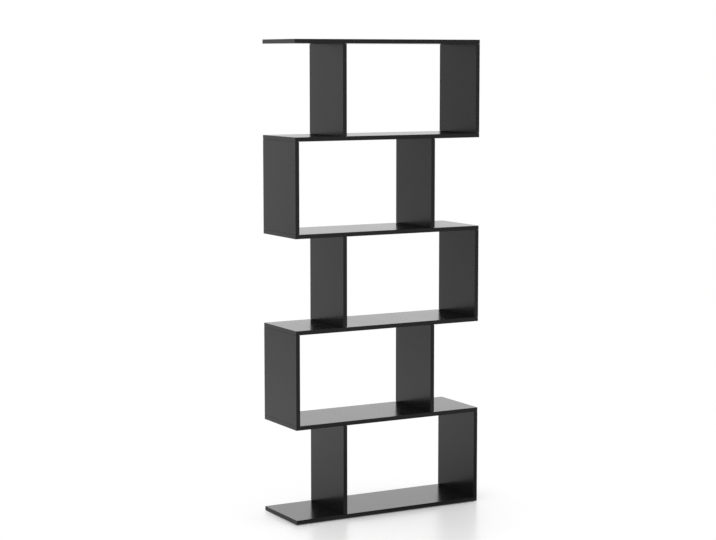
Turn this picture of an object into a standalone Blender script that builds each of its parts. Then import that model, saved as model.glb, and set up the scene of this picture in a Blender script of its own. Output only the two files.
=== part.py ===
"""A tall open bookcase whose five tiers step from side to side.

Six full-width boards lie on ten uprights. In tiers one, three and five an upright stands at the right
end and another is set in from the left end; tiers two and four are the other way round. Each end of an
upright is held by a cam fitting in the middle of the depth and a glued dowel on each side of it.
Metres, +Z up, +Y towards the wall.
"""

import math

import bmesh
import bpy
from mathutils import Euler

# Boards
BOARD_THICKNESS = 0.016
BOARD_WIDTH = 0.800
BOARD_DEPTH = 0.268
TIER_CLEARANCE = 0.343  # free height between two lying boards
TIERS = 5
UPRIGHT_INSET = 0.200  # from a board's end to the outer face of the upright set in from it
EDGE_CHAMFER = 0.0008
HOLE_FLOOR = 0.0045  # wood left below a blind hole in a lying board

# Clearances
FACE_GAP = 0.0003  # between two faces that meet
FIT_GAP = 0.0003  # all round a peg, a bolt or a cam in its hole

# Dowels, glued into the uprights
DOWEL_RADIUS = 0.004
DOWEL_LENGTH = 0.032
DOWEL_CHAMFER = 0.001
DOWEL_SPACING = 0.160  # between the two dowels of a joint

# Bolt of the cam fitting, screwed into the face of a lying board
THREAD_RADIUS = 0.0031
THREAD_ROOT_RADIUS = 0.0023
THREAD_PITCH = 0.0045
COLLAR_RADIUS = 0.0037
COLLAR_THICKNESS = 0.0012
SHANK_RADIUS = 0.0030
NECK_RADIUS = 0.0022
HEAD_RADIUS = 0.0034
HEAD_THICKNESS = 0.0024
HEAD_CHAMFER = 0.0008

# Cam, turned with a screwdriver to draw the bolt's head in
CAM_SETBACK = 0.034  # from the lying board's face to the cam's axis
CAM_POCKET_PLAY = 0.0013  # between the bolt's head and the pocket round it
CAM_WALL = 0.0025
CAM_SINK = 0.0006  # of its face below the upright's face
CAM_FLOOR = 0.0033  # wood left behind the cam
CAM_ENTRY_ANGLE = math.radians(100)  # from the notch that lets the head in to where the neck rests
RECESS_WIDTH = 0.0013
RECESS_LENGTH = 0.0070
RECESS_DEPTH = 0.0020

# Glides, pushed into the bottom board
GLIDE_HEIGHT = 0.003  # of the bottom board above the floor
GLIDE_RADIUS = 0.011
GLIDE_ROUNDING = 0.0010
GLIDE_PIN_RADIUS = 0.0016
GLIDE_PIN_LENGTH = 0.008
GLIDE_INSET_X = 0.040  # from the board's end to the glide's axis
GLIDE_INSET_Y = 0.030  # from the board's long edge to the glide's axis

# Fineness of round shapes
DOWEL_SIDES = 8
BOLT_SIDES = 8
CAM_SIDES = 20
POCKET_SIDES = 12
SLOT_STEPS = 8
GLIDE_SIDES = 16
MERGE_DISTANCE = 0.00001
OVERCUT = 0.001  # by which a cutter runs past the surface that it enters

# Sizes that follow
TIER_PITCH = TIER_CLEARANCE + BOARD_THICKNESS
UPRIGHT_LENGTH = TIER_CLEARANCE - 2 * FACE_GAP
BOARD_HOLE_DEPTH = BOARD_THICKNESS - HOLE_FLOOR
PEG_REACH = BOARD_HOLE_DEPTH - FIT_GAP  # of a dowel or a bolt below a lying board's face
BOLT_BORE_RADIUS = max(COLLAR_RADIUS, HEAD_RADIUS) + FIT_GAP
BOLT_DEPTH = BOARD_THICKNESS / 2  # from an upright's face to the bolt's axis
HEAD_ROOM = HEAD_RADIUS + FIT_GAP
NECK_ROOM = NECK_RADIUS + FIT_GAP
POCKET_RADIUS = HEAD_RADIUS + CAM_POCKET_PLAY
CAM_RADIUS = POCKET_RADIUS + CAM_WALL
CAM_BORE_DEPTH = BOARD_THICKNESS - CAM_FLOOR
CAM_HEIGHT = CAM_BORE_DEPTH - CAM_SINK - FIT_GAP
CAM_AXIS_DEPTH = BOLT_DEPTH - CAM_SINK  # from the cam's face to the bolt's axis

# Names in the file
PARTS = "bookcase"
HELPERS = "cutters and patterns"
ORIGIN = "bookcase origin"
BLACK_BOARD = "gloss black board"
BOLT_STEEL = "bolt steel"
CAM_ZINC = "cam zinc"
GLIDE_PLASTIC = "glide plastic"


# Scene


def clear_scene():
    for obj in list(bpy.data.objects):
        bpy.data.objects.remove(obj, do_unlink=True)


def add_collections():
    for name in (PARTS, HELPERS):
        bpy.context.scene.collection.children.link(bpy.data.collections.new(name))
    origin = bpy.data.objects.new(ORIGIN, None)
    bpy.data.collections[PARTS].objects.link(origin)


def add_material(name, color, roughness, metallic=0.0):
    material = bpy.data.materials.new(name)
    material.use_nodes = True
    shader = material.node_tree.nodes["Principled BSDF"]
    shader.inputs["Base Color"].default_value = (*color, 1.0)
    shader.inputs["Roughness"].default_value = roughness
    shader.inputs["Metallic"].default_value = metallic


def add_materials():
    add_material(BLACK_BOARD, (0.012, 0.012, 0.013), 0.10)
    add_material(BOLT_STEEL, (0.62, 0.60, 0.56), 0.30, metallic=1.0)
    add_material(CAM_ZINC, (0.50, 0.50, 0.49), 0.42, metallic=1.0)
    add_material(GLIDE_PLASTIC, (0.020, 0.020, 0.020), 0.55)


def add_helper(name, mesh, location=(0, 0, 0), rotation=(0, 0, 0)):
    """A cutter or a pattern: drawn as wires in the viewport and left out of a render."""
    obj = bpy.data.objects.new(name, mesh)
    bpy.data.collections[HELPERS].objects.link(obj)
    obj.location = location
    obj.rotation_euler = Euler(rotation)
    obj.hide_render = True
    obj.display_type = "WIRE"
    return obj


def add_part(name, mesh, material, location=(0, 0, 0), rotation=(0, 0, 0)):
    """A piece of the bookcase in its place. Like pieces share one mesh."""
    if not mesh.materials:
        mesh.materials.append(bpy.data.materials[material])
    obj = bpy.data.objects.new(name, mesh)
    bpy.data.collections[PARTS].objects.link(obj)
    obj.parent = bpy.data.objects[ORIGIN]
    obj.location = location
    obj.rotation_euler = Euler(rotation)
    return obj


# Basic shapes


def mesh_of(form, name):
    mesh = bpy.data.meshes.new(name)
    form.to_mesh(mesh)
    form.free()
    return mesh


def block_mesh(name, low, high):
    """A block between two corners."""
    size = [b - a for a, b in zip(low, high)]
    middle = [(a + b) / 2 for a, b in zip(low, high)]
    form = bmesh.new()
    bmesh.ops.create_cube(form, size=1.0)
    bmesh.ops.scale(form, vec=size, verts=form.verts)
    bmesh.ops.translate(form, vec=middle, verts=form.verts)
    return mesh_of(form, name)


def bars_mesh(name, bars):
    """Round bars along Z, each given as y, lower z, upper z, radius and number of sides."""
    form = bmesh.new()
    for y, low, high, radius, sides in bars:
        made = bmesh.ops.create_cone(
            form, cap_ends=True, segments=sides, radius1=radius, radius2=radius, depth=high - low
        )
        bmesh.ops.translate(form, vec=(0, y, (low + high) / 2), verts=made["verts"])
    return mesh_of(form, name)


def turned(name, profile, sides, location=(0, 0, 0)):
    """A shape turned about Z from (radius, height) points that run down its outside from axis to axis."""
    mesh = bpy.data.meshes.new(name)
    points = [(radius, 0.0, height) for radius, height in profile]
    edges = [(i, i + 1) for i in range(len(points) - 1)]
    mesh.from_pydata(points, edges, [])
    obj = add_helper(name, mesh, location)
    screw = obj.modifiers.new("Turning", "SCREW")
    screw.axis = "Z"
    screw.steps = sides
    screw.render_steps = sides
    screw.use_merge_vertices = True
    screw.merge_threshold = MERGE_DISTANCE
    return obj


def boolean(obj, other, operation="DIFFERENCE"):
    modifier = obj.modifiers.new(other.name, "BOOLEAN")
    modifier.object = other
    modifier.operation = operation
    modifier.solver = "EXACT"


def chamfer_edges(obj):
    modifier = obj.modifiers.new("Edge chamfer", "BEVEL")
    modifier.width = EDGE_CHAMFER
    modifier.segments = 1
    modifier.limit_method = "ANGLE"
    modifier.angle_limit = math.radians(40)


def finished_mesh(pattern, sharp_angle):
    """The pattern's shape with its modifiers carried out, for copies to share."""
    graph = bpy.context.evaluated_depsgraph_get()
    mesh = bpy.data.meshes.new_from_object(pattern.evaluated_get(graph))
    mesh.name = pattern.name.replace(" pattern", "")
    mesh.shade_smooth()
    mesh.set_sharp_from_angle(angle=math.radians(sharp_angle))
    return mesh


# Cam fitting


def bolt_profile():
    """From the head down to the tip, with height zero at the lying board's face."""
    rim_reach = POCKET_RADIUS - FIT_GAP  # how far the head's rim may lie from the cam's axis
    head_bottom = CAM_SETBACK - math.sqrt(rim_reach**2 - HEAD_RADIUS**2)
    head_top = head_bottom + HEAD_THICKNESS
    shank_top = CAM_SETBACK - CAM_RADIUS - FIT_GAP
    collar_top = FACE_GAP + COLLAR_THICKNESS
    profile = [
        (0.0, head_top),
        (HEAD_RADIUS - HEAD_CHAMFER, head_top),
        (HEAD_RADIUS, head_top - HEAD_CHAMFER),
        (HEAD_RADIUS, head_bottom),
        (NECK_RADIUS, head_bottom),
        (NECK_RADIUS, shank_top),
        (SHANK_RADIUS, shank_top),
        (SHANK_RADIUS, collar_top),
        (COLLAR_RADIUS, collar_top),
        (COLLAR_RADIUS, FACE_GAP),
        (THREAD_ROOT_RADIUS, FACE_GAP),
    ]
    for ridge in range(math.floor(PEG_REACH / THREAD_PITCH)):
        profile.append((THREAD_ROOT_RADIUS, -(ridge + 1 / 4) * THREAD_PITCH))
        profile.append((THREAD_RADIUS, -(ridge + 1 / 2) * THREAD_PITCH))
        profile.append((THREAD_ROOT_RADIUS, -(ridge + 3 / 4) * THREAD_PITCH))
    profile.append((0.0, -PEG_REACH))
    return profile


def neck_slot_mesh():
    """A ring segment that lets the neck through the cam's wall, from the notch to where the neck rests."""
    rest_angle = math.asin(NECK_ROOM / POCKET_RADIUS)
    low = -CAM_AXIS_DEPTH - NECK_ROOM
    high = -CAM_AXIS_DEPTH + NECK_ROOM
    inner = POCKET_RADIUS - CAM_WALL / 2
    outer = CAM_RADIUS + OVERCUT
    form = bmesh.new()
    corners = [(inner, low), (outer, low), (outer, high), (inner, high)]
    verts = [form.verts.new((0.0, radius, height)) for radius, height in corners]
    face = form.faces.new(verts)
    turn = Euler((0, 0, rest_angle)).to_matrix()
    bmesh.ops.rotate(form, cent=(0, 0, 0), matrix=turn, verts=verts)
    bmesh.ops.spin(
        form,
        geom=[face, *face.edges, *verts],
        cent=(0, 0, 0),
        axis=(0, 0, 1),
        angle=-(CAM_ENTRY_ANGLE + rest_angle),
        steps=SLOT_STEPS,
        use_duplicate=False,
    )
    bmesh.ops.recalc_face_normals(form, faces=form.faces)
    return mesh_of(form, "neck slot cutter")


def make_cam_mesh():
    """A cam with its face at height zero and the bolt coming in along +Y."""
    body = bars_mesh("cam pattern", [(0, -CAM_HEIGHT, 0, CAM_RADIUS, CAM_SIDES)])
    cam = add_helper("cam pattern", body)
    below = -CAM_HEIGHT - OVERCUT
    pocket_top = HEAD_ROOM - CAM_AXIS_DEPTH
    pocket = bars_mesh("cam pocket cutter", [(0, below, pocket_top, POCKET_RADIUS, POCKET_SIDES)])
    boolean(cam, add_helper("cam pocket cutter", pocket))
    notch = block_mesh(
        "cam notch cutter", (-HEAD_ROOM, 0, below), (HEAD_ROOM, CAM_RADIUS + OVERCUT, pocket_top)
    )
    boolean(cam, add_helper("cam notch cutter", notch, rotation=(0, 0, -CAM_ENTRY_ANGLE)))
    boolean(cam, add_helper("neck slot cutter", neck_slot_mesh()))
    recess = block_mesh(
        "cross recess cutter",
        (-RECESS_LENGTH / 2, -RECESS_WIDTH / 2, -RECESS_DEPTH),
        (RECESS_LENGTH / 2, RECESS_WIDTH / 2, OVERCUT),
    )
    for degrees in (45, 135):
        turn = (0, 0, math.radians(degrees))
        boolean(cam, add_helper(f"cross recess cutter {degrees}", recess, rotation=turn))
    return finished_mesh(cam, sharp_angle=30)


def cam_rotation(end):
    """Turns a cam to face +X, its bolt coming from above at an upper end (1), from below at a lower (-1)."""
    return (end * math.pi / 2, 0, end * math.pi / 2)


def add_fittings(upright, x, tier, bolt_mesh, cam_mesh):
    """The bolt and the cam at the lower and the upper end of one upright."""
    place = upright.replace("_upright", "")
    cam_x = x + BOARD_THICKNESS / 2 - CAM_SINK
    for end, word, face in ((-1, "lower", board_top(tier - 1)), (1, "upper", board_bottom(tier))):
        upside_down = (math.pi, 0, 0) if end == 1 else (0, 0, 0)
        add_part(f"cam_bolt_{place}_{word}", bolt_mesh, BOLT_STEEL, (x, 0, face), upside_down)
        cam_place = (cam_x, 0, face - end * CAM_SETBACK)
        add_part(f"cam_lock_{place}_{word}", cam_mesh, CAM_ZINC, cam_place, cam_rotation(end))


# Uprights


def dowel_places():
    return (-DOWEL_SPACING / 2, DOWEL_SPACING / 2)


def upright_places(tier):
    """The name and middle x of each upright of a tier, counted from one. Every second tier is mirrored."""
    side = 1 if tier % 2 else -1
    end_x = (BOARD_WIDTH - BOARD_THICKNESS) / 2
    inner_x = BOARD_WIDTH / 2 - UPRIGHT_INSET - BOARD_THICKNESS / 2
    return ((f"tier_{tier}_end_upright", side * end_x), (f"tier_{tier}_inner_upright", -side * inner_x))


def make_upright_mesh():
    """An upright about its own middle, with its upper end's bores and dowels mirrored to the lower end."""
    half = (BOARD_THICKNESS / 2, BOARD_DEPTH / 2, UPRIGHT_LENGTH / 2)
    upright = add_helper("upright pattern", block_mesh("upright pattern", [-h for h in half], half))
    chamfer_edges(upright)
    end = UPRIGHT_LENGTH / 2
    board_face = end + FACE_GAP
    cam_height = board_face - CAM_SETBACK
    bore = bars_mesh("bolt bore cutter", [(0, cam_height, end + OVERCUT, BOLT_BORE_RADIUS, BOLT_SIDES)])
    boolean(upright, add_helper("bolt bore cutter", bore))
    seat = bars_mesh("cam bore cutter", [(0, -CAM_BORE_DEPTH, OVERCUT, CAM_RADIUS + FIT_GAP, CAM_SIDES)])
    cam_place = (BOARD_THICKNESS / 2, 0, cam_height)
    boolean(upright, add_helper("cam bore cutter", seat, cam_place, cam_rotation(1)))
    tip = board_face + PEG_REACH
    profile = [
        (0.0, tip),
        (DOWEL_RADIUS - DOWEL_CHAMFER, tip),
        (DOWEL_RADIUS, tip - DOWEL_CHAMFER),
        (DOWEL_RADIUS, tip - DOWEL_LENGTH),
        (0.0, tip - DOWEL_LENGTH),
    ]
    for y in dowel_places():
        boolean(upright, turned("dowel pattern", profile, DOWEL_SIDES, (0, y, 0)), "UNION")
    mirror = upright.modifiers.new("Lower end", "MIRROR")
    mirror.use_axis = (False, False, True)
    mirror.use_bisect_axis = (False, False, True)
    mirror.merge_threshold = MERGE_DISTANCE
    return finished_mesh(upright, sharp_angle=30)


def add_uprights(bolt_mesh, cam_mesh):
    upright_mesh = make_upright_mesh()
    for tier in range(1, TIERS + 1):
        middle = (board_top(tier - 1) + board_bottom(tier)) / 2
        for name, x in upright_places(tier):
            add_part(name, upright_mesh, BLACK_BOARD, (x, 0, middle))
            add_fittings(name, x, tier, bolt_mesh, cam_mesh)


# Lying boards


def board_name(level):
    if level == 0:
        return "bottom_board"
    if level == TIERS:
        return "top_board"
    return f"shelf_{level}"


def board_bottom(level):
    return GLIDE_HEIGHT + level * TIER_PITCH


def board_top(level):
    return board_bottom(level) + BOARD_THICKNESS


def seat_cutter_mesh():
    """The blind holes that one end of an upright needs in a lying board, drilled down from height zero."""
    holes = [(0, -BOARD_HOLE_DEPTH, OVERCUT, THREAD_RADIUS + FIT_GAP, BOLT_SIDES)]
    for y in dowel_places():
        holes.append((y, -BOARD_HOLE_DEPTH, OVERCUT, DOWEL_RADIUS + FIT_GAP, DOWEL_SIDES))
    return bars_mesh("seat cutter", holes)


def add_lying_board(level, seat_mesh):
    """A lying board with holes for the uprights that stand on it and for those that carry it."""
    half_width = BOARD_WIDTH / 2
    half_depth = BOARD_DEPTH / 2
    name = board_name(level)
    mesh = block_mesh(name, (-half_width, -half_depth, 0), (half_width, half_depth, BOARD_THICKNESS))
    board = add_part(name, mesh, BLACK_BOARD, (0, 0, board_bottom(level)))
    chamfer_edges(board)
    seats = []
    if level < TIERS:
        seats += [(seat, x, board_top(level), 0) for seat, x in upright_places(level + 1)]
    if level > 0:
        seats += [(seat, x, board_bottom(level), math.pi) for seat, x in upright_places(level)]
    for seat, x, height, turn in seats:
        boolean(board, add_helper(f"{name} holes for {seat}", seat_mesh, (x, 0, height), (turn, 0, 0)))
    return board


# Glides


def make_glide_mesh():
    """A flat foot with a rounded rim and a pointed pin, with height zero at the floor."""
    foot_top = GLIDE_HEIGHT - FACE_GAP
    pin_top = GLIDE_HEIGHT + GLIDE_PIN_LENGTH
    profile = [
        (0.0, pin_top),
        (GLIDE_PIN_RADIUS, pin_top - 2 * GLIDE_PIN_RADIUS),
        (GLIDE_PIN_RADIUS, foot_top),
        (GLIDE_RADIUS, foot_top),
        (GLIDE_RADIUS, GLIDE_ROUNDING),
        (GLIDE_RADIUS - GLIDE_ROUNDING, 0.0),
        (0.0, 0.0),
    ]
    return finished_mesh(turned("glide pattern", profile, GLIDE_SIDES), sharp_angle=30)


def add_glides(board):
    glide_mesh = make_glide_mesh()
    hole = (0, -OVERCUT, GLIDE_PIN_LENGTH + FIT_GAP, GLIDE_PIN_RADIUS + FIT_GAP, BOLT_SIDES)
    hole_mesh = bars_mesh("glide hole cutter", [hole])
    for along, row in ((-1, "front"), (1, "back")):
        for across, side in ((-1, "left"), (1, "right")):
            x = across * (BOARD_WIDTH / 2 - GLIDE_INSET_X)
            y = along * (BOARD_DEPTH / 2 - GLIDE_INSET_Y)
            add_part(f"floor_glide_{row}_{side}", glide_mesh, GLIDE_PLASTIC, (x, y, 0))
            boolean(board, add_helper(f"glide hole cutter {row} {side}", hole_mesh, (x, y, GLIDE_HEIGHT)))


# Assembly


def main():
    clear_scene()
    add_collections()
    add_materials()
    seat_mesh = seat_cutter_mesh()
    boards = [add_lying_board(level, seat_mesh) for level in range(TIERS + 1)]
    add_glides(boards[0])
    bolt_mesh = finished_mesh(turned("bolt pattern", bolt_profile(), BOLT_SIDES), sharp_angle=50)
    add_uprights(bolt_mesh, make_cam_mesh())


main()
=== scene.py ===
"""The finish of a stepped black bookcase, and the studio that it stands in.

The solid model gives every board, fitting and glide its place. Each board is made again as a faced panel
with glued edging, drilled for its dowels and cam fittings, and gets its gloss, grain and wear here.
Metres, +Z up, +Y towards the wall.
"""

import contextlib
import math

import bmesh
import bpy
from bpy.props import FloatProperty, FloatVectorProperty, IntProperty, PointerProperty
from mathutils import Matrix, Vector


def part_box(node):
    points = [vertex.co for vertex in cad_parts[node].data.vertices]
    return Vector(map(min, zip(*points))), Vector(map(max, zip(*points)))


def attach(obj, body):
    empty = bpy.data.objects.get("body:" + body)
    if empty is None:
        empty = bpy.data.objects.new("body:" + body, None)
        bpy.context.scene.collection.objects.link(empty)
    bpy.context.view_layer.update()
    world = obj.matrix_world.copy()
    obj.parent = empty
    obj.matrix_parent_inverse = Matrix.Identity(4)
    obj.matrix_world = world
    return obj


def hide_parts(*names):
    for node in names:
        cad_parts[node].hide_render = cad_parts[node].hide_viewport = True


bl_info = {
    "name": "Stepped bookcase",
    "version": (1, 0, 0),
    "blender": (4, 5, 0),
    "location": "3D View > Sidebar > Bookcase",
    "description": "Gives a stepped bookcase its boards, edging, fittings, finishes and studio",
    "category": "Object",
}

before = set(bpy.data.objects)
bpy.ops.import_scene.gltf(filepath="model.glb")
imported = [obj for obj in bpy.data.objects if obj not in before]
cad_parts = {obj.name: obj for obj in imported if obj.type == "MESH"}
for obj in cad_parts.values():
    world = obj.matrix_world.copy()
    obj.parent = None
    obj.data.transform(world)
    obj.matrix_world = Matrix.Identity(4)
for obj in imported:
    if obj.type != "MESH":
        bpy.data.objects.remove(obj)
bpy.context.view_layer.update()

# Names of the body and of the finishes
BODY = "root"

# Materials that more than one kind of piece has
FACING_FINISH = "gloss black facing"
CORE_FINISH = "chipboard"
STEEL_FINISH = "plated steel"

# Sizes read from the model
LENGTH, DEPTH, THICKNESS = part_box("top_board")[1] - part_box("top_board")[0]
UPRIGHTS = sorted(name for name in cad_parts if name.endswith("_upright"))
LYING = sorted(
    (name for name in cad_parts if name.startswith("shelf_") or name.endswith("_board")),
    key=lambda name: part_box(name)[0].z,
)
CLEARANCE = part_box(LYING[1])[0].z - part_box(LYING[0])[1].z
GLIDE_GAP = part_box(LYING[0])[0].z

X, Y, Z = range(3)
NEAR = 0.00001  # two places closer than this are the same
OVERCUT = 0.001  # by which a drill starts outside the wood
HALF_TURN = math.pi
QUARTER_TURN = math.pi / 2
FACE, CORE = range(2)  # material slots of a panel
PLASTIC, PIN = range(2)  # material slots of a glide
WHITE = (1.0, 1.0, 1.0, 1.0)

# Sides of the round shapes
DRILL_SIDES = 24
PIN_DRILL_SIDES = 16
CAM_DRILL_SIDES = 48
CAP_SIDES = 64
GLIDE_SIDES = 40
FLOOR_SIDES = 96


# Settings


def length_setting(name, description, default):
    return FloatProperty(name=name, description=description, default=default, unit="LENGTH", precision=5)


def share_setting(name, description, default):
    return FloatProperty(name=name, description=description, default=default, subtype="FACTOR", precision=3)


def color_setting(name, description, default):
    return FloatVectorProperty(name=name, description=description, default=default, subtype="COLOR", size=3)


def angle_setting(name, description, degrees):
    return FloatProperty(
        name=name, description=description, default=math.radians(degrees), subtype="ANGLE", precision=5
    )


class BookcaseBoards(bpy.types.PropertyGroup):
    """Sizes of the boards' facing and edging."""

    edging: length_setting("Edging", "Thickness of the plastic strip glued to each edge that shows", 0.001)
    rounding: length_setting("Rounding", "Radius of the strip's outer edges", 0.00025)
    seam: length_setting("Seam", "Depth of the fine groove where strip and facing meet", 0.00012)
    glue: length_setting("Glue line", "Gap between a strip and the panel", 0.00004)
    joint: length_setting("Joint", "Gap around an upright's end, between its rim and the board", 0.0007)
    shoulder: length_setting("Shoulder", "Width of the low rim around an upright's end", 0.003)
    easing: length_setting("Easing", "Rounding of a facing at an upright's sawn end", 0.0001)
    skin: length_setting("Facing", "Thickness of the black facing on the chipboard", 0.0005)
    hole_floor: length_setting("Hole floor", "Wood left below a blind hole in a lying board", 0.0045)


class BookcaseFittings(bpy.types.PropertyGroup):
    """Sizes of the fittings that hold the boards together."""

    play: length_setting("Play", "Gap round a dowel, a bolt or a cam in its hole", 0.0003)
    cap_play: length_setting("Cap play", "Gap round a cover cap", 0.0001)
    dowel_radius: length_setting("Dowel radius", "Radius of a dowel over its ridges", 0.004)
    dowel_length: length_setting("Dowel length", "Length of a dowel", 0.032)
    dowel_spacing: length_setting("Dowel spacing", "Distance between the two dowels of a joint", 0.160)
    dowel_chamfer: length_setting("Dowel chamfer", "Chamfer at a dowel's ends", 0.0009)
    flute: length_setting("Flute depth", "Depth of the glue grooves pressed along a dowel", 0.00025)
    flute_bank: length_setting("Flute bank", "Width of the slope at a glue groove's sides", 0.0001)
    flutes: IntProperty(name="Flutes", description="Number of glue grooves round a dowel", default=12)
    thread_radius: length_setting("Thread radius", "Radius of the bolt's thread in the board's face", 0.0031)
    bolt_bore: length_setting("Bolt bore", "Radius of the bore that the bolt passes along", 0.0040)
    cam_floor: length_setting("Cam floor", "Wood left behind a cam", 0.0033)
    cap: length_setting("Cap", "Thickness of a cover cap's rim", 0.0005)
    cap_dish: length_setting("Cap dish", "Depth of the shallow dish in a cover cap", 0.00012)
    cap_rim: length_setting("Cap rim", "Width of the flat rim round the dish", 0.0012)
    pin_radius: length_setting("Pin radius", "Radius of a glide's steel pin", 0.0016)


class BookcaseFinish(bpy.types.PropertyGroup):
    """Colours and gloss of the bookcase."""

    black: color_setting("Black", "Colour of the glossy facing", (0.0068, 0.0068, 0.0068))
    gloss: share_setting("Roughness", "Roughness of the glossy facing", 0.21)
    index: FloatProperty(name="Gloss index", description="Refractive index of the lacquer", default=1.45)
    dust: color_setting("Dust", "Colour of fine dust on the facing", (0.16, 0.155, 0.15))
    chipboard: color_setting("Chipboard", "Colour of the chips inside a board", (0.42, 0.29, 0.17))
    beech: color_setting("Beech", "Colour of the dowels", (0.58, 0.39, 0.22))
    zinc: color_setting("Zinc", "Colour of the cast cams", (0.50, 0.50, 0.49))
    steel: color_setting("Steel", "Colour of the plated bolts and pins", (0.62, 0.60, 0.56))
    plastic: color_setting("Plastic", "Colour of caps and glides", (0.010, 0.010, 0.010))


class BookcaseStudio(bpy.types.PropertyGroup):
    """Camera, floor and light."""

    distance: length_setting("Camera distance", "From the middle of the foot to the camera, level", 7.168)
    height: length_setting("Camera height", "Height of the camera above the floor", 1.745)
    bearing: angle_setting("Camera bearing", "Where the camera stands, clockwise from the front", -29.476)
    azimuth: angle_setting("Azimuth", "Which way the camera looks, level", -29.037)
    elevation: angle_setting("Elevation", "How far the camera looks down", 6.480)
    roll: angle_setting("Roll", "Tilt of the picture", -0.033)
    lens: FloatProperty(name="Lens", description="Focal length in millimetres", default=93.93)
    floor_radius: length_setting("Floor radius", "Radius of the studio floor", 14.0)
    floor_color: color_setting("Floor", "Colour of the studio floor", (0.97, 0.97, 0.97))
    floor_lift: share_setting("Floor lift", "Light that the floor adds to look white", 0.16)
    light: share_setting("Room light", "Strength of the even light from all round", 0.95)
    bright: share_setting("Bright wall", "Strength of the wall behind the bookcase in the gloss", 1.20)
    dim: share_setting("Dim sides", "Strength of the room's sides as gloss mirrors them", 0.45)
    lit: share_setting("Lit front", "How much brighter than the sides the wall behind the camera is", 0.50)
    wall_foot: share_setting("Wall foot", "How much dimmer the bright wall is at its foot", 0.2)
    second: share_setting("Second mirroring", "Strength of the room as gloss mirrors it in gloss", 0.12)
    softbox: length_setting("Softbox", "Side of the square lamp overhead", 3.2)
    softbox_height: length_setting("Softbox height", "Height of the lamp above the floor", 4.2)
    softbox_power: FloatProperty(name="Softbox power", description="Power in watts", default=44.0)


SETTINGS = {
    "bookcase_boards": BookcaseBoards,
    "bookcase_fittings": BookcaseFittings,
    "bookcase_finish": BookcaseFinish,
    "bookcase_studio": BookcaseStudio,
}


def board_settings():
    return bpy.context.scene.bookcase_boards


def fitting_settings():
    return bpy.context.scene.bookcase_fittings


def finish_settings():
    return bpy.context.scene.bookcase_finish


def studio_settings():
    return bpy.context.scene.bookcase_studio


# Shader graphs


class Wire:
    """An output of a shader node. Python's operators on it add Math nodes."""

    def __init__(self, graph, output):
        self.graph = graph
        self.output = output

    def maths(self, operation, *others):
        return self.graph.maths(operation, self, *others)

    def __add__(self, other):
        return self.maths("ADD", other)

    def __sub__(self, other):
        return self.maths("SUBTRACT", other)

    def __rsub__(self, other):
        return self.graph.maths("SUBTRACT", other, self)

    def __mul__(self, other):
        return self.maths("MULTIPLY", other)

    def __lt__(self, other):
        return self.maths("LESS_THAN", other)

    __radd__ = __add__
    __rmul__ = __mul__


class Outputs:
    """The outputs of one node, by name or by number."""

    def __init__(self, graph, node):
        self.graph = graph
        self.node = node

    def __getitem__(self, name):
        return Wire(self.graph, self.node.outputs[name])


class Graph:
    """The node tree of a material or of the world."""

    def __init__(self, owner):
        owner.use_nodes = True
        self.tree = owner.node_tree
        self.tree.nodes.clear()

    def node(self, kind, settings=None, sockets=None):
        """A node of that type: its settings first, then the values or links of its sockets."""
        made = self.tree.nodes.new(kind)
        for name, value in (settings or {}).items():
            setattr(made, name, value)
        for name, value in (sockets or {}).items():
            if isinstance(value, Wire):
                self.tree.links.new(value.output, made.inputs[name])
            else:
                made.inputs[name].default_value = value
        return Outputs(self, made)

    def maths(self, operation, *values):
        return self.node("ShaderNodeMath", {"operation": operation}, dict(enumerate(values)))[0]

    def place(self, stretch=(1.0, 1.0, 1.0)):
        """Object coordinates, stretched so that a pattern repeats more often along some axes than others."""
        coordinates = self.node("ShaderNodeTexCoord")["Object"]
        return self.node("ShaderNodeMapping", {}, {"Vector": coordinates, "Scale": stretch})[0]

    def noise(self, where, scale=1.0, detail=2.0, roughness=0.5, distortion=0.0):
        sockets = {
            "Vector": where,
            "Scale": scale,
            "Detail": detail,
            "Roughness": roughness,
            "Distortion": distortion,
        }
        return self.node("ShaderNodeTexNoise", {}, sockets)["Fac"]

    def cells(self, where, scale, feature="F1"):
        return self.node("ShaderNodeTexVoronoi", {"feature": feature}, {"Vector": where, "Scale": scale})

    def ease(self, value, low, high, start=0.0, end=1.0):
        """A smooth change from start to end as value goes from low to high."""
        sockets = {"Value": value, "From Min": low, "From Max": high, "To Min": start, "To Max": end}
        return self.node("ShaderNodeMapRange", {"interpolation_type": "SMOOTHSTEP"}, sockets)[0]

    def blend(self, share, color, other):
        """From color to other, as share goes from 0 to 1."""
        sockets = {0: share, 6: color, 7: other}
        return self.node("ShaderNodeMix", {"data_type": "RGBA"}, sockets)[2]

    def parts(self, vector):
        return self.node("ShaderNodeSeparateXYZ", {}, {"Vector": vector})

    def bump(self, height, distance):
        return self.node("ShaderNodeBump", {}, {"Height": height, "Distance": distance})[0]

    def surface(self, **sockets):
        """The material's shader. A socket's name has underscores for spaces."""
        spaced = {name.replace("_", " "): value for name, value in sockets.items()}
        shader = self.node("ShaderNodeBsdfPrincipled", {}, spaced)[0]
        self.node("ShaderNodeOutputMaterial", {}, {"Surface": shader})


def opaque(color, tone=1.0):
    """A colour as a socket takes it, made darker or paler by the tone."""
    return (*(min(1.0, tone * part) for part in color), 1.0)


def new_material(name):
    material = bpy.data.materials.new(name)
    return material, Graph(material)


# Finishes

# A scale or a stretch here is in features a metre, a bump's distance is in metres, and the rest are shares


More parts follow.
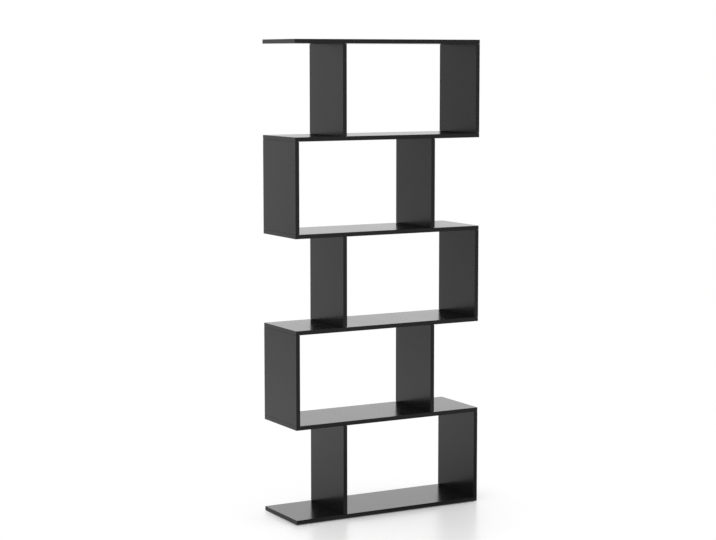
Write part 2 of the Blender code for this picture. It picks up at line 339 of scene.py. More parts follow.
def gloss_black(name):
    """High-gloss black: long waves in the lacquer, wiping marks, and dust on what faces up."""
    finish = finish_settings()
    material, graph = new_material(name)
    where = graph.place()
    haze = graph.noise(where, scale=5.0, detail=3.0)
    wiped = graph.noise(graph.place((34.0, 2.4, 34.0)), detail=4.0, roughness=0.62, distortion=0.4)
    scratched = graph.ease(graph.noise(graph.place((900.0, 9.0, 900.0)), detail=1.0), 0.74, 0.80)
    specks = graph.cells(where, scale=170.0)
    speck = (specks["Distance"] < 0.022) * (graph.parts(specks["Color"])["X"] < 0.4)
    upward = graph.ease(graph.parts(graph.node("ShaderNodeNewGeometry")["Normal"])["Z"], 0.7, 0.95)
    dusty = speck * upward
    peel = graph.noise(where, scale=190.0, detail=1.0)
    swell = graph.noise(where, scale=28.0, detail=1.0)
    graph.surface(
        Base_Color=graph.blend(dusty * 0.4, opaque(finish.black), opaque(finish.dust)),
        Roughness=finish.gloss + (haze - 0.5) * 0.05 + (wiped - 0.5) * 0.05 + scratched * 0.05 + dusty * 0.3,
        IOR=finish.index,
        Normal=graph.bump(peel * 0.12 + swell, distance=0.00003),
    )
    return material


def edging_black(name, across):
    """Glossy edging: faint lines along the strip, close together across it, and duller rounded edges."""
    finish = finish_settings()
    material, graph = new_material(name)
    stretch = [900.0 if axis == across else 6.0 for axis in (X, Y, Z)]
    drawn = graph.noise(graph.place(stretch), detail=3.0)
    rubbed = graph.noise(graph.place(), scale=60.0, detail=4.0)
    rim = graph.node("ShaderNodeAttribute", {"attribute_name": "rim"})["Fac"]
    worn = rim * graph.ease(rubbed, 0.45, 0.75)
    graph.surface(
        Base_Color=graph.blend(worn * 0.25, opaque(finish.black), opaque(finish.dust)),
        Roughness=finish.gloss + (drawn - 0.5) * 0.10 + rim * 0.22 + worn * 0.12,
        IOR=finish.index,
        Normal=graph.bump(drawn, distance=0.00002),
    )
    return material


def chipboard(name):
    """Pressed chips of mixed size and tone, with dark gaps between them."""
    finish = finish_settings()
    material, graph = new_material(name)
    where = graph.place((1.0, 1.4, 1.0))
    chips_a_metre = 420.0
    chips = graph.cells(where, chips_a_metre)
    tone = graph.parts(chips["Color"])["X"]
    gaps = graph.ease(graph.cells(where, chips_a_metre, "DISTANCE_TO_EDGE")["Distance"], 0.0, 0.06)
    fibres = graph.noise(graph.place((300.0, 2400.0, 900.0)), detail=3.0)
    dark = opaque(finish.chipboard, tone=0.45)
    pale = opaque(finish.chipboard, tone=1.35)
    chip_color = graph.blend(tone, opaque(finish.chipboard), pale)
    graph.surface(
        Base_Color=graph.blend((1 - gaps) * 0.8 + fibres * 0.2, chip_color, dark),
        Roughness=0.85 - tone * 0.1,
        Normal=graph.bump(gaps + fibres * 0.3, distance=0.00015),
    )
    return material


def beech(name):
    """Turned beech: fine grain and short dark flecks along the dowel."""
    finish = finish_settings()
    material, graph = new_material(name)
    grain = graph.noise(graph.place((900.0, 900.0, 40.0)), detail=3.0)
    flecks = graph.ease(graph.noise(graph.place((2200.0, 2200.0, 260.0)), detail=1.0), 0.62, 0.70)
    dark = opaque(finish.beech, tone=0.6)
    graph.surface(
        Base_Color=graph.blend(grain * 0.35 + flecks * 0.5, opaque(finish.beech), dark),
        Roughness=0.62 + grain * 0.1,
        Normal=graph.bump(grain - flecks * 0.4, distance=0.00006),
    )
    return material


def cast_zinc(name):
    """Die-cast zinc: a fine grain, with dull patches where it has oxidised."""
    finish = finish_settings()
    material, graph = new_material(name)
    grain = graph.noise(graph.place(), scale=2600.0)
    patches = graph.ease(graph.noise(graph.place(), scale=240.0, detail=3.0), 0.40, 0.70)
    dull = opaque(finish.zinc, tone=0.7)
    graph.surface(
        Base_Color=graph.blend(patches * 0.6, opaque(finish.zinc), dull),
        Metallic=1.0,
        Roughness=0.36 + patches * 0.16 + grain * 0.06,
        Normal=graph.bump(grain, distance=0.00003),
    )
    return material


def plated_steel(name):
    """Zinc-plated steel with the faint rings left by turning."""
    finish = finish_settings()
    material, graph = new_material(name)
    rings = graph.noise(graph.place((120.0, 120.0, 5200.0)))
    tint = graph.ease(graph.noise(graph.place(), scale=160.0), 0.40, 0.65)
    red, green, blue = finish.steel
    straw = (red, green * 0.93, blue * 0.78)
    graph.surface(
        Base_Color=graph.blend(tint * 0.6, opaque(finish.steel), opaque(straw)),
        Metallic=1.0,
        Roughness=0.26 + rings * 0.12,
        Normal=graph.bump(rings, distance=0.00002),
    )
    return material


def moulded_plastic(name, roughness):
    """Moulded black plastic with the fine grain of its tool and rubbed spots."""
    finish = finish_settings()
    material, graph = new_material(name)
    grain = graph.noise(graph.place(), scale=1500.0)
    rubbed = graph.ease(graph.noise(graph.place(), scale=180.0, detail=4.0), 0.50, 0.75)
    pale = opaque(finish.plastic, tone=2.2)
    graph.surface(
        Base_Color=graph.blend(rubbed * 0.4, opaque(finish.plastic), pale),
        Roughness=roughness + rubbed * 0.12 + (grain - 0.5) * 0.06,
        Normal=graph.bump(grain, distance=0.00002),
    )
    return material


# Modelling


def select_only(*objects):
    bpy.ops.object.select_all(action="DESELECT")
    for obj in objects:
        obj.select_set(True)
    bpy.context.view_layer.objects.active = objects[0]


@contextlib.contextmanager
def editing(obj):
    """The piece alone in edit mode."""
    select_only(obj)
    bpy.ops.object.mode_set(mode="EDIT")
    yield
    bpy.ops.object.mode_set(mode="OBJECT")


def pick(obj, kind, test):
    """In edit mode, selects the FACE or EDGE elements that pass the test and nothing else."""
    bpy.ops.mesh.select_mode(type=kind)
    bpy.ops.mesh.select_all(action="DESELECT")
    form = bmesh.from_edit_mesh(obj.data)
    for element in form.faces if kind == "FACE" else form.edges:
        if test(element):
            element.select_set(True)
    bmesh.update_edit_mesh(obj.data)


def lies_at(element, axis, place):
    """Whether a face or an edge lies wholly at that place along an axis."""
    return all(abs(vert.co[axis] - place) < NEAR for vert in element.verts)


def lies_at_either(element, axis, place):
    return lies_at(element, axis, place) or lies_at(element, axis, -place)


def named(obj, name):
    obj.name = name
    obj.data.name = name
    return obj


def put(obj, location=(0, 0, 0), rotation=(0, 0, 0)):
    """Carries that place and turn, and the object's scale, into its mesh."""
    obj.location = location
    obj.rotation_euler = rotation
    select_only(obj)
    bpy.ops.object.transform_apply(location=True, rotation=True, scale=True)
    return obj


def add_shape(name, primitive, **sizes):
    """A primitive about the origin, made with nothing else selected."""
    bpy.ops.object.select_all(action="DESELECT")
    primitive(**sizes)
    return named(bpy.context.active_object, name)


def add_block(name, size, location=(0, 0, 0)):
    block = add_shape(name, bpy.ops.mesh.primitive_cube_add, size=1.0)
    block.scale = size
    return put(block, location)


def add_rod(name, radius, reach, sides, location=(0, 0, 0), rotation=(0, 0, 0)):
    """A round rod from its location along its own +Z."""
    rod = add_shape(name, bpy.ops.mesh.primitive_cylinder_add, vertices=sides, radius=radius, depth=reach)
    put(rod, (0, 0, reach / 2))
    return put(rod, location, rotation)


def add_disc(name, radius, sides):
    return add_shape(
        name, bpy.ops.mesh.primitive_circle_add, vertices=sides, radius=radius, fill_type="NGON"
    )


def add_turned(name, profile, sides):
    """A disc extruded and resized along (radius, height) points from its foot to its top."""
    (radius, height), *rest = profile
    piece = add_disc(name, radius, sides)
    put(piece, (0, 0, height))
    with editing(piece):
        bpy.ops.mesh.select_all(action="SELECT")
        for next_radius, next_height in rest:
            rise = (0, 0, next_height - height)
            bpy.ops.mesh.extrude_region_move(TRANSFORM_OT_translate={"value": rise})
            share = next_radius / radius
            bpy.ops.transform.resize(value=(share, share, 1), center_override=(0, 0, next_height))
            radius, height = next_radius, next_height
        bpy.ops.mesh.select_all(action="SELECT")
        bpy.ops.mesh.normals_make_consistent(inside=False)
    return piece


def joined(name, pieces):
    """Several shapes as one object, each still a body of its own."""
    select_only(*pieces)
    if len(pieces) > 1:
        bpy.ops.object.join()
    return named(pieces[0], name)


def discard(obj):
    bpy.data.objects.remove(obj, do_unlink=True)


def carve(obj, cutter):
    """Cuts a shape away, removes it, and merges corners that the cut leaves in one place."""
    select_only(obj)
    modifier = obj.modifiers.new("Carving", "BOOLEAN")
    modifier.object = cutter
    modifier.operation = "DIFFERENCE"
    modifier.solver = "EXACT"
    bpy.ops.object.modifier_apply(modifier=modifier.name)
    discard(cutter)
    with editing(obj):
        bpy.ops.mesh.select_all(action="SELECT")
        bpy.ops.mesh.remove_doubles(threshold=NEAR)


def copy_of(pattern, name, location=(0, 0, 0), rotation=(0, 0, 0)):
    copy = pattern.copy()
    copy.data = pattern.data.copy()
    bpy.context.scene.collection.objects.link(copy)
    return put(named(copy, name), location, rotation)


def smooth(obj, degrees=35):
    """Smooth shading below that angle, in which a small rounding leaves the large faces beside it flat."""
    select_only(obj)
    bpy.ops.object.shade_smooth_by_angle(angle=math.radians(degrees))
    modifier = obj.modifiers.new("Flat faces", "WEIGHTED_NORMAL")
    modifier.keep_sharp = True
    bpy.ops.object.modifier_apply(modifier=modifier.name)


def dress(obj, *materials):
    obj.data.materials.clear()
    for material in materials:
        obj.data.materials.append(material)


def hand_in(obj, replaced=()):
    """The piece rides on the bookcase and stands for the nodes, which it hides."""
    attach(obj, BODY)
    if replaced:
        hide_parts(*replaced)


# Places in the model


def nodes_named(start):
    """Names of the nodes that start so, in order."""
    return sorted(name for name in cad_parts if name.startswith(start))


def middle_of(node):
    low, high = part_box(node)
    return (low + high) / 2


# Boards


def hole_depth():
    """Depth of a blind hole in a lying board."""
    return THICKNESS - board_settings().hole_floor


def half_core():
    """Half the thickness of a board's chipboard, without its facings."""
    return THICKNESS / 2 - board_settings().skin


def edge_trim():
    """What a panel leaves for the glue and the strip along one edge."""
    return board_settings().edging + board_settings().glue


def add_panel(name, length, ends_edged):
    """A faced chipboard panel lying flat about its own middle, trimmed to leave room for its edging."""
    boards = board_settings()
    panel_length = length - 2 * edge_trim() if ends_edged else length
    panel_depth = DEPTH - 2 * edge_trim()
    panel = add_block(name, (panel_length, panel_depth, THICKNESS))

    def ease_edges(axis, place, offset):
        def at_border(edge):
            return lies_at_either(edge, Z, THICKNESS / 2) and lies_at_either(edge, axis, place)

        pick(panel, "EDGE", at_border)
        bpy.ops.mesh.bevel(offset=offset, segments=2)

    def raise_end(end):
        """Leaves the rim of a sawn end a little low, so that only its middle meets the board."""
        rise = (end * (boards.joint - boards.glue), 0, 0)
        pick(panel, "FACE", lambda face: lies_at(face, X, end * panel_length / 2))
        bpy.ops.mesh.inset(thickness=boards.shoulder)
        bpy.ops.mesh.extrude_region_move(TRANSFORM_OT_translate={"value": rise})

    with editing(panel):
        if not ends_edged:
            raise_end(-1)
            raise_end(1)
        for height in (-half_core(), half_core()):
            bpy.ops.mesh.select_all(action="SELECT")
            bpy.ops.mesh.bisect(plane_co=(0, 0, height), plane_no=(0, 0, 1))
        ease_edges(X, panel_length / 2, boards.seam if ends_edged else boards.easing)
        ease_edges(Y, panel_depth / 2, boards.seam)
    return panel


def show_core(panel):
    """Gives the chipboard material to every face between the two facings."""
    core = half_core()
    for face in panel.data.polygons:
        heights = [abs(panel.data.vertices[i].co.z) for i in face.vertices]
        standing = abs(face.normal.z) < 0.5
        in_core = max(heights) < core + NEAR or (min(heights) < core + NEAR and standing)
        beside_facing = min(heights) > core - NEAR
        face.material_index = CORE if in_core and not beside_facing else FACE


def seal_rims(panel, sawn_end):
    """Blackens the low rim of each raw end and the step beside it, where one looks into the joint's gap."""
    for face in panel.data.polygons:
        nearest = min(abs(panel.data.vertices[i].co.x) for i in face.vertices)
        if abs(nearest - sawn_end) < NEAR:
            face.material_index = FACE


def joint_rows():
    """Places across the depth of a joint's two dowels."""
    spacing = fitting_settings().dowel_spacing
    return (-spacing / 2, spacing / 2)


def joint_drills(x, z, turn, bolt_radius, bolt_reach, dowel_reach):
    """The drills of one joint: the bolt's in the middle of the depth, and a dowel's on each side of it."""
    fittings = fitting_settings()
    drills = [add_rod("bolt drill", bolt_radius, bolt_reach, DRILL_SIDES, (x, 0, z), turn)]
    for y in joint_rows():
        radius = fittings.dowel_radius + fittings.play
        drills.append(add_rod("dowel drill", radius, dowel_reach, DRILL_SIDES, (x, y, z), turn))
    return drills


def seat_drills(upright, side):
    """The drills for an upright's end in a lying board, inwards from its upper (1) or lower (-1) face."""
    fittings = fitting_settings()
    bolt_radius = fittings.thread_radius + fittings.play
    start = side * (THICKNESS / 2 + OVERCUT)
    inwards = (HALF_TURN, 0, 0) if side > 0 else (0, 0, 0)
    reach = hole_depth() + OVERCUT
    return joint_drills(middle_of(upright).x, start, inwards, bolt_radius, reach, reach)


def drill_lying_board(panel, level):
    """Holes for the uprights above and below, and for the glides' pins in the lowest board."""
    fittings = fitting_settings()
    drills = []
    for upright in nodes_named(f"tier_{level + 1}_"):
        drills += seat_drills(upright, 1)
    for upright in nodes_named(f"tier_{level}_"):
        drills += seat_drills(upright, -1)
    if level == 0:
        for glide in nodes_named("floor_glide_"):
            middle = middle_of(glide)
            radius = fittings.pin_radius + fittings.play
            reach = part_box(glide)[1].z - GLIDE_GAP + fittings.play + OVERCUT
            start = (middle.x, middle.y, -THICKNESS / 2 - OVERCUT)
            drills.append(add_rod("pin drill", radius, reach, PIN_DRILL_SIDES, start))
    carve(panel, joined("drills", drills))


def cam_bore_radius():
    low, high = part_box(nodes_named("cam_lock_")[0])
    return (high.y - low.y) / 2 + fitting_settings().play


def drill_upright(panel):
    """The cams' bores in the upper face, and the bolts' and dowels' bores in the two ends."""
    fittings = fitting_settings()
    setback = middle_of(nodes_named("cam_lock_")[0]).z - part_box(LYING[0])[1].z
    cam_depth = THICKNESS - fittings.cam_floor + OVERCUT
    dowel_depth = fittings.dowel_length - hole_depth() + fittings.play + OVERCUT
    cam_bores = []
    end_bores = []
    for end in (-1, 1):
        top = (end * (CLEARANCE / 2 - setback), 0, THICKNESS / 2 + OVERCUT)
        downwards = (HALF_TURN, 0, 0)
        cam_bores.append(add_rod("cam drill", cam_bore_radius(), cam_depth, CAM_DRILL_SIDES, top, downwards))
        start = end * (CLEARANCE / 2 + OVERCUT)
        inwards = (0, -end * QUARTER_TURN, 0)
        end_bores += joint_drills(start, 0, inwards, fittings.bolt_bore, setback + OVERCUT, dowel_depth)
    carve(panel, joined("cam drills", cam_bores))
    carve(panel, joined("end drills", end_bores))


def add_strip(name, length, rounded_ends):
    """A strip of edging along X whose outer face looks along -Y at y = 0."""
    boards = board_settings()
    strip = add_block(name, (length, boards.edging, THICKNESS), (0, boards.edging / 2, 0))

    def outer_edge(edge):
        along = lies_at_either(edge, Z, THICKNESS / 2)
        at_end = rounded_ends and lies_at_either(edge, X, length / 2)
        return lies_at(edge, Y, 0) and (along or at_end)

    def inner_edge(edge):
        return lies_at(edge, Y, boards.edging) and lies_at_either(edge, Z, THICKNESS / 2)

    with editing(strip):
        pick(strip, "EDGE", inner_edge)
        bpy.ops.mesh.bevel(offset=boards.seam, segments=1)
        pick(strip, "EDGE", outer_edge)
        bpy.ops.mesh.bevel(offset=boards.rounding, segments=4)
    mark_rim(strip)
    return strip


def mark_rim(strip):
    """Notes on each point how far round a rounded edge it lies: 0 on the flat, 1 at the facing."""
    boards = board_settings()
    rim = strip.data.attributes.new("rim", "FLOAT", "POINT")
    for vert, value in zip(strip.data.vertices, rim.data):
        value.value = min(1.0, vert.co.y / boards.rounding)


def add_edging(name, length, ends_edged):
    """The strips round a board that lies flat about its own middle, each a body of its own."""
    strips = []
    for side, turn in ((-1, 0), (1, HALF_TURN)):
        strip = add_strip("strip", length, rounded_ends=True)
        strips.append(put(strip, (0, side * DEPTH / 2, 0), (0, 0, turn)))
    if ends_edged:
        for side in (-1, 1):
            strip = add_strip("strip", DEPTH - 2 * edge_trim(), rounded_ends=False)
            strips.append(put(strip, (side * length / 2, 0, 0), (0, 0, side * QUARTER_TURN)))
    return joined(name, strips)


def make_lying_boards():
    """Six lying boards, edged all round."""
    facing = gloss_black(FACING_FINISH)
    core = chipboard(CORE_FINISH)
    edging = edging_black("edging of lying boards", across=Z)
    pattern = add_edging("edging pattern", LENGTH, ends_edged=True)
    smooth(pattern)
    dress(pattern, edging)
    for level, node in enumerate(LYING):
        place = middle_of(node)
        panel = add_panel(f"{node}_panel", LENGTH, ends_edged=True)
        drill_lying_board(panel, level)
        smooth(panel)
        dress(panel, facing, core)
        show_core(panel)
        put(panel, place)
        hand_in(panel, [node])
        hand_in(copy_of(pattern, f"{node}_edging", place))
    discard(pattern)


def make_uprights():
    """Ten uprights, edged at the front and the back, their raw ends hidden in the joints."""
    edging = edging_black("edging of uprights", across=X)
    length = CLEARANCE - 2 * board_settings().joint
    panel_pattern = add_panel("panel pattern", length, ends_edged=False)
    drill_upright(panel_pattern)
    smooth(panel_pattern)
    dress(panel_pattern, bpy.data.materials[FACING_FINISH], bpy.data.materials[CORE_FINISH])
    show_core(panel_pattern)
    seal_rims(panel_pattern, length / 2)
    edging_pattern = add_edging("edging pattern", length, ends_edged=False)
    smooth(edging_pattern)
    dress(edging_pattern, edging)
    upright_turn = (0, QUARTER_TURN, 0)
    for node in UPRIGHTS:
        place = middle_of(node)
        panel = copy_of(panel_pattern, f"{node}_panel", place, upright_turn)
        hand_in(panel, [node])
        hand_in(copy_of(edging_pattern, f"{node}_edging", place, upright_turn))
    discard(panel_pattern)
    discard(edging_pattern)


# Fittings


def add_dowel(name):
    """A fluted dowel along Z about its own middle."""
    fittings = fitting_settings()
    sides = 2 * fittings.flutes
    half = fittings.dowel_length / 2
    dowel = add_rod(name, fittings.dowel_radius, fittings.dowel_length, sides, (0, 0, -half))
    with editing(dowel):
        pick(dowel, "EDGE", lambda edge: lies_at_either(edge, Z, half))
        bpy.ops.mesh.bevel(offset=fittings.dowel_chamfer, segments=1)

        def fluted(face):
            middle = face.calc_center_median()
            turn = math.atan2(middle.y, middle.x) / math.tau * sides
            return abs(face.normal.z) < 0.1 and math.floor(turn) % 2 == 0

        pick(dowel, "FACE", fluted)
        bpy.ops.mesh.inset(thickness=fittings.flute_bank, depth=-fittings.flute, use_individual=True)
    smooth(dowel, degrees=20)
    return dowel


def make_dowels():
    """Four dowels to each upright, two at each end."""
    fittings = fitting_settings()
    sunk = hole_depth() - fittings.play - fittings.dowel_length / 2
    pattern = add_dowel("dowel pattern")
    dress(pattern, beech("beech"))
    for node in UPRIGHTS:
        tier = int(node.split("_")[1])
        x = middle_of(node).x
        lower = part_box(LYING[tier - 1])[1].z
        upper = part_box(LYING[tier])[0].z
        dowels = []
        for y in joint_rows():
            dowels.append(copy_of(pattern, "dowel", (x, y, lower - sunk)))
            dowels.append(copy_of(pattern, "dowel", (x, y, upper + sunk)))
        hand_in(joined(node.replace("_upright", "_dowels"), dowels))
    discard(pattern)


def make_cam_fittings():
    """The bolts and cams keep their modelled shape and get their metal."""
    metals = {"cam_bolt_": plated_steel(STEEL_FINISH), "cam_lock_": cast_zinc("cast zinc")}
    for start, metal in metals.items():
        for node in nodes_named(start):
            dress(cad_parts[node], metal)


def add_cap(name, radius):
    """A cover cap with its face at z = 0: a thin disc with a flat rim round a shallow dish."""
    fittings = fitting_settings()
    dish_bank = fittings.cap_dish * 3
    rounding = fittings.cap / 4
    cap = add_rod(name, radius, fittings.cap, CAP_SIDES, (0, 0, -fittings.cap))

    def on_outline(edge):
        return lies_at(edge, Z, 0) and all(abs(vert.co.xy.length - radius) < NEAR for vert in edge.verts)

    with editing(cap):
        pick(cap, "FACE", lambda face: lies_at(face, Z, 0))
        bpy.ops.mesh.inset(thickness=fittings.cap_rim, depth=0)
        bpy.ops.mesh.inset(thickness=dish_bank, depth=-fittings.cap_dish)
        pick(cap, "EDGE", on_outline)
        bpy.ops.mesh.bevel(offset=rounding, segments=3)
    smooth(cap)
    return cap


def make_cover_caps():
    """A cap over each cam, flush with the upright's face."""
    pattern = add_cap("cap pattern", cam_bore_radius() - fitting_settings().cap_play)
    dress(pattern, moulded_plastic("cap plastic", roughness=0.30))
    for lock in nodes_named("cam_lock_"):
        middle = middle_of(lock)
        upright = lock.replace("cam_lock_", "").rsplit("_", 1)[0] + "_upright"
        place = (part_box(upright)[1].x, middle.y, middle.z)
        cap = copy_of(pattern, lock.replace("cam_lock", "cover_cap"), place, (0, QUARTER_TURN, 0))
        hand_in(cap)
    discard(pattern)


def make_floor_glides():
    """Nail-on glides: a round plastic foot and a pointed steel pin."""
    pin_radius = fitting_settings().pin_radius
    glides = nodes_named("floor_glide_")
    low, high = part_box(glides[0])
    radius = (high.x - low.x) / 2
    foot = GLIDE_GAP - board_settings().glue
    rounding = foot / 3
    # From the rounded sole up the rim and across the top to the pin, then up the pin to its point
    profile = [
        (radius - rounding * 1.6, 0.0),
        (radius - rounding * 0.6, rounding * 0.25),
        (radius - rounding * 0.12, rounding * 0.8),
        (radius, rounding * 1.6),
        (radius, foot - rounding * 0.2),
        (radius - rounding * 0.2, foot),
        (pin_radius, foot),
        (pin_radius, high.z - 3 * pin_radius),
        (pin_radius * 0.08, high.z),
    ]
    pattern = add_turned("glide pattern", profile, GLIDE_SIDES)
    smooth(pattern)
    dress(pattern, moulded_plastic("glide plastic", roughness=0.50), bpy.data.materials[STEEL_FINISH])
    for face in pattern.data.polygons:
        face.material_index = PIN if face.center.z > foot + NEAR else PLASTIC
    for node in glides:
        middle = middle_of(node)
        hand_in(copy_of(pattern, f"{node}_turned", (middle.x, middle.y, 0)), [node])
    discard(pattern)


# Studio

# Where the room's tones change, as cosines of the angle from the camera's level line of sight
WALL_AHEAD = (0.36, 0.86)
WALL_BEHIND_CAMERA = (-0.75, -0.95)
MIDDLE_OF_WALL = (0.7, 0.95)
WALL_FOOT_RISE = (0.0, 0.16)  # and upwards, as sines

# Where the floor's tones change, in metres from the middle of the bookcase's foot
# painted light: behind and beside the foot, white lifts the floor where the bookcase's shadow would fall
BEHIND_FOOT = (-0.1, 0.4)  # along y
BESIDE_FOOT = (0.38, 0.70)  # along x, both ways
OUTER_FLOOR = (1.3, 2.8)
MIRRORED_IN_FRONT = (-DEPTH / 2, -0.19)  # along y
MIRRORED_NEAR = (1.0, 2.4)
MIRRORED_FAR = (3.0, 9.0)
# painted shade: the room that gloss sees in the floor grows darker this near the foot, where the bookcase's
# shadow would lie
MIRRORED_PAINTED_SHADE_NEAR = (0.3, 2.0)

# Shares of the floor's tones
# painted light that whitens the floor behind and beside the foot, over the bookcase's shadow
PAINTED_LIGHT_AROUND_FOOT = 0.85
MIRRORED_AROUND_FOOT = 0.25
# share of the mirrored room that the painted shade leaves at the foot
DEEPEST_MIRRORED_PAINTED_SHADE = 0.3


def mirrored_room(graph, ahead):
    """What gloss mirrors: a bright wall ahead of the camera, dim sides, and a lit wall behind the camera."""
    studio = studio_settings()
    wall = graph.ease(ahead, *WALL_AHEAD, studio.dim, studio.bright)
    return wall + graph.ease(ahead, *WALL_BEHIND_CAMERA, 0.0, studio.lit)


def towards_view(place):
    """How far a place or a direction lies along the camera's level line of sight."""
    azimuth = studio_settings().azimuth
    return place["Y"] * math.cos(azimuth) - place["X"] * math.sin(azimuth)


def studio_floor_material():
    """Satin paint in front of the foot, where shadow and reflection lie, going over to plain white.

    In place of most of the floor, the bookcase's gloss mirrors the room as it lies in that direction. Behind
    and beside the foot, painted light whitens the floor over the bookcase's shadow; near the foot, painted
    shade darkens the room that gloss sees in the floor.
    """
    studio = studio_settings()
    material, graph = new_material("studio floor")
    ray = graph.node("ShaderNodeLightPath")
    place = graph.parts(graph.node("ShaderNodeTexCoord")["Object"])
    distance = (place["X"] * place["X"] + place["Y"] * place["Y"]).maths("SQRT")
    grain = graph.noise(graph.place(), scale=40.0, detail=3.0)
    sockets = {"Base Color": opaque(studio.floor_color), "Roughness": 0.30 + (grain - 0.5) * 0.04}
    paint = graph.node("ShaderNodeBsdfPrincipled", {}, sockets)[0]
    white = graph.node("ShaderNodeEmission", {}, {"Color": WHITE, "Strength": 1.0})[0]
    # Painted light: white over the floor behind and beside the foot, where the bookcase's shadow would fall
    behind = graph.ease(place["Y"], *BEHIND_FOOT)
    beside = graph.ease(place["X"].maths("ABSOLUTE"), *BESIDE_FOOT)
    painted_light_around_foot = behind.maths("MAXIMUM", beside) * PAINTED_LIGHT_AROUND_FOOT
    outer = graph.ease(distance, *OUTER_FLOOR).maths("MAXIMUM", painted_light_around_foot)
    bleached = ray["Is Camera Ray"] * (studio.floor_lift + outer * (1.0 - studio.floor_lift))
    seen = graph.node("ShaderNodeMixShader", {}, {0: bleached, 1: paint, 2: white})[0]
    room = mirrored_room(graph, towards_view(place).maths("DIVIDE", distance))
    # Painted shade: the mirrored room darkens towards the foot, standing in for the bookcase's shadow on the
    # floor
    room = room * graph.ease(distance, *MIRRORED_PAINTED_SHADE_NEAR, DEEPEST_MIRRORED_PAINTED_SHADE, 1.0)
    mirrored = graph.node("ShaderNodeEmission", {}, {"Color": room, "Strength": 1.0})[0]
    in_front = graph.ease(place["Y"], *MIRRORED_IN_FRONT)
    far_off = graph.ease(distance, *MIRRORED_FAR)
    near_by = graph.ease(distance, *MIRRORED_NEAR, MIRRORED_AROUND_FOOT, 0.0)
    replaced = ray["Is Glossy Ray"] * in_front.maths("MAXIMUM", far_off.maths("MAXIMUM", near_by))
    shown = graph.node("ShaderNodeMixShader", {}, {0: replaced, 1: seen, 2: mirrored})[0]
    graph.node("ShaderNodeOutputMaterial", {}, {"Surface": shown})
    return material


def set_world():
    """White to the camera, even light to the boards, and the room to gloss: dark where mirrored twice."""
    studio = studio_settings()
    world = bpy.data.worlds.new("studio")
    bpy.context.scene.world = world
    graph = Graph(world)
    ray = graph.node("ShaderNodeLightPath")
    direction = graph.parts(graph.node("ShaderNodeTexCoord")["Generated"])
    ahead = towards_view(direction)
    low_down = graph.ease(direction["Z"], *WALL_FOOT_RISE, studio.wall_foot, 0.0)
    foot_of_wall = low_down * graph.ease(ahead, *MIDDLE_OF_WALL)
    room = mirrored_room(graph, ahead) * (1 - foot_of_wall)
    first = ray["Glossy Depth"] < 1.5  # one at the first mirroring, two at the next
    mirrored = ray["Is Glossy Ray"] * (first * room + (1 - first) * studio.second)
    diffuse = (1 - ray["Is Camera Ray"]) * (1 - ray["Is Glossy Ray"]) * studio.light
    sockets = {"Color": WHITE, "Strength": ray["Is Camera Ray"] + mirrored + diffuse}
    background = graph.node("ShaderNodeBackground", {}, sockets)[0]
    graph.node("ShaderNodeOutputWorld", {}, {"Surface": background})


def placed(name, data):
    """A lamp or a camera with that data, in the scene."""
    obj = bpy.data.objects.new(name, data)
    bpy.context.scene.collection.objects.link(obj)
    return obj


def add_camera():
    """The camera where its distance, height and bearing put it, turned by azimuth, elevation and roll."""
    studio = studio_settings()
    data = bpy.data.cameras.new("camera")
    data.lens = studio.lens
    data.clip_end = 100.0
    camera = placed("camera", data)
    place = (
        studio.distance * math.sin(studio.bearing),
        -studio.distance * math.cos(studio.bearing),
        studio.height,
    )
    level = math.cos(studio.elevation)
    back = Vector(
        (math.sin(studio.azimuth) * level, -math.cos(studio.azimuth) * level, math.sin(studio.elevation))
    )
    right = (-back).cross(Vector((0, 0, 1))).normalized()
    up = right.cross(-back)
    turned = Matrix((right, up, back)).transposed() @ Matrix.Rotation(studio.roll, 3, "Z")
    camera.matrix_world = Matrix.Translation(place) @ turned.to_4x4()
    bpy.context.scene.camera = camera


def add_softbox():
    """The lamp overhead, which neither the camera nor gloss sees."""
    studio = studio_settings()
    data = bpy.data.lights.new("softbox", "AREA")
    data.shape = "SQUARE"
    data.size = studio.softbox
    data.energy = studio.softbox_power
    lamp = placed("softbox", data)
    lamp.location = (0, 0, studio.softbox_height)
    lamp.visible_glossy = False
    lamp.visible_camera = False


def make_stage():
    floor = add_disc("studio_floor", studio_settings().floor_radius, FLOOR_SIDES)
    dress(floor, studio_floor_material())
    set_world()
    add_softbox()
    add_camera()
    bpy.context.scene.view_settings.view_transform = "Standard"


# Operators


class BOOKCASE_OT_lying_boards(bpy.types.Operator):
    """Makes the six lying boards, faced, edged and drilled"""

    bl_idname = "bookcase.lying_boards"
    bl_label = "Lying boards"

    def execute(self, context):
        make_lying_boards()
        return {"FINISHED"}


class BOOKCASE_OT_uprights(bpy.types.Operator):
    """Makes the ten uprights, faced, edged and drilled"""

    bl_idname = "bookcase.uprights"
    bl_label = "Uprights"

    def execute(self, context):
        make_uprights()
        return {"FINISHED"}


class BOOKCASE_OT_dowels(bpy.types.Operator):
    """Makes the fluted dowels in the joints"""

    bl_idname = "bookcase.dowels"
    bl_label = "Dowels"

    def execute(self, context):
        make_dowels()
        return {"FINISHED"}


class BOOKCASE_OT_cam_fittings(bpy.types.Operator):
    """Gives the cam bolts and cam locks their metal"""

    bl_idname = "bookcase.cam_fittings"
    bl_label = "Cam fittings"

    def execute(self, context):
        make_cam_fittings()
        return {"FINISHED"}


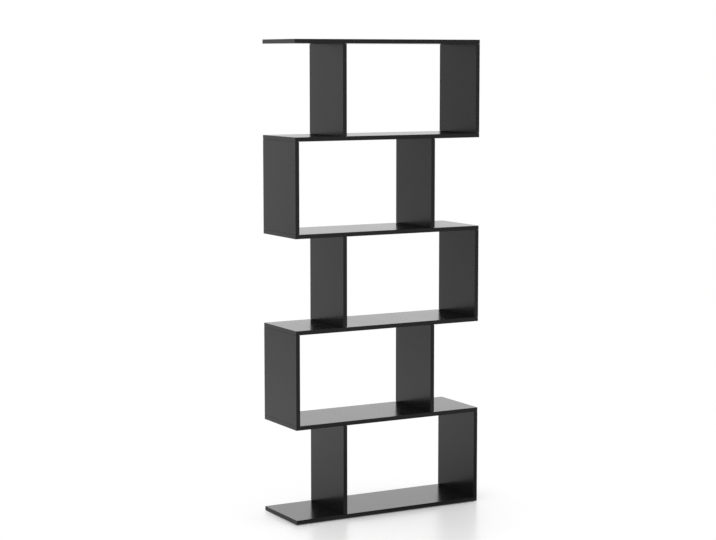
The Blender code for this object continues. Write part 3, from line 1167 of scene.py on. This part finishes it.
class BOOKCASE_OT_cover_caps(bpy.types.Operator):
    """Makes the caps that cover the cams"""

    bl_idname = "bookcase.cover_caps"
    bl_label = "Cover caps"

    def execute(self, context):
        make_cover_caps()
        return {"FINISHED"}


class BOOKCASE_OT_floor_glides(bpy.types.Operator):
    """Makes the glides below the bottom board"""

    bl_idname = "bookcase.floor_glides"
    bl_label = "Floor glides"

    def execute(self, context):
        make_floor_glides()
        return {"FINISHED"}


class BOOKCASE_OT_stage(bpy.types.Operator):
    """Sets up the floor, the light and the camera"""

    bl_idname = "bookcase.stage"
    bl_label = "Studio"

    def execute(self, context):
        make_stage()
        return {"FINISHED"}


OPERATORS = (
    BOOKCASE_OT_lying_boards,
    BOOKCASE_OT_uprights,
    BOOKCASE_OT_dowels,
    BOOKCASE_OT_cam_fittings,
    BOOKCASE_OT_cover_caps,
    BOOKCASE_OT_floor_glides,
    BOOKCASE_OT_stage,
)


class BOOKCASE_PT_sidebar(bpy.types.Panel):
    """The bookcase's settings and the steps that make it"""

    bl_label = "Stepped bookcase"
    bl_idname = "BOOKCASE_PT_sidebar"
    bl_space_type = "VIEW_3D"
    bl_region_type = "UI"
    bl_category = "Bookcase"

    def draw(self, context):
        for group in SETTINGS:
            box = self.layout.box()
            for name in SETTINGS[group].__annotations__:
                box.prop(getattr(context.scene, group), name)
        for operator in OPERATORS:
            self.layout.operator(operator.bl_idname)


CLASSES = (*SETTINGS.values(), *OPERATORS, BOOKCASE_PT_sidebar)


def register():
    for cls in CLASSES:
        bpy.utils.register_class(cls)
    for group, cls in SETTINGS.items():
        setattr(bpy.types.Scene, group, PointerProperty(type=cls))


def unregister():
    for group in SETTINGS:
        delattr(bpy.types.Scene, group)
    for cls in reversed(CLASSES):
        bpy.utils.unregister_class(cls)


def main():
    register()
    bpy.ops.bookcase.lying_boards()
    bpy.ops.bookcase.uprights()
    bpy.ops.bookcase.dowels()
    bpy.ops.bookcase.cam_fittings()
    bpy.ops.bookcase.cover_caps()
    bpy.ops.bookcase.floor_glides()
    bpy.ops.bookcase.stage()


if __name__ == "__main__":
    main()
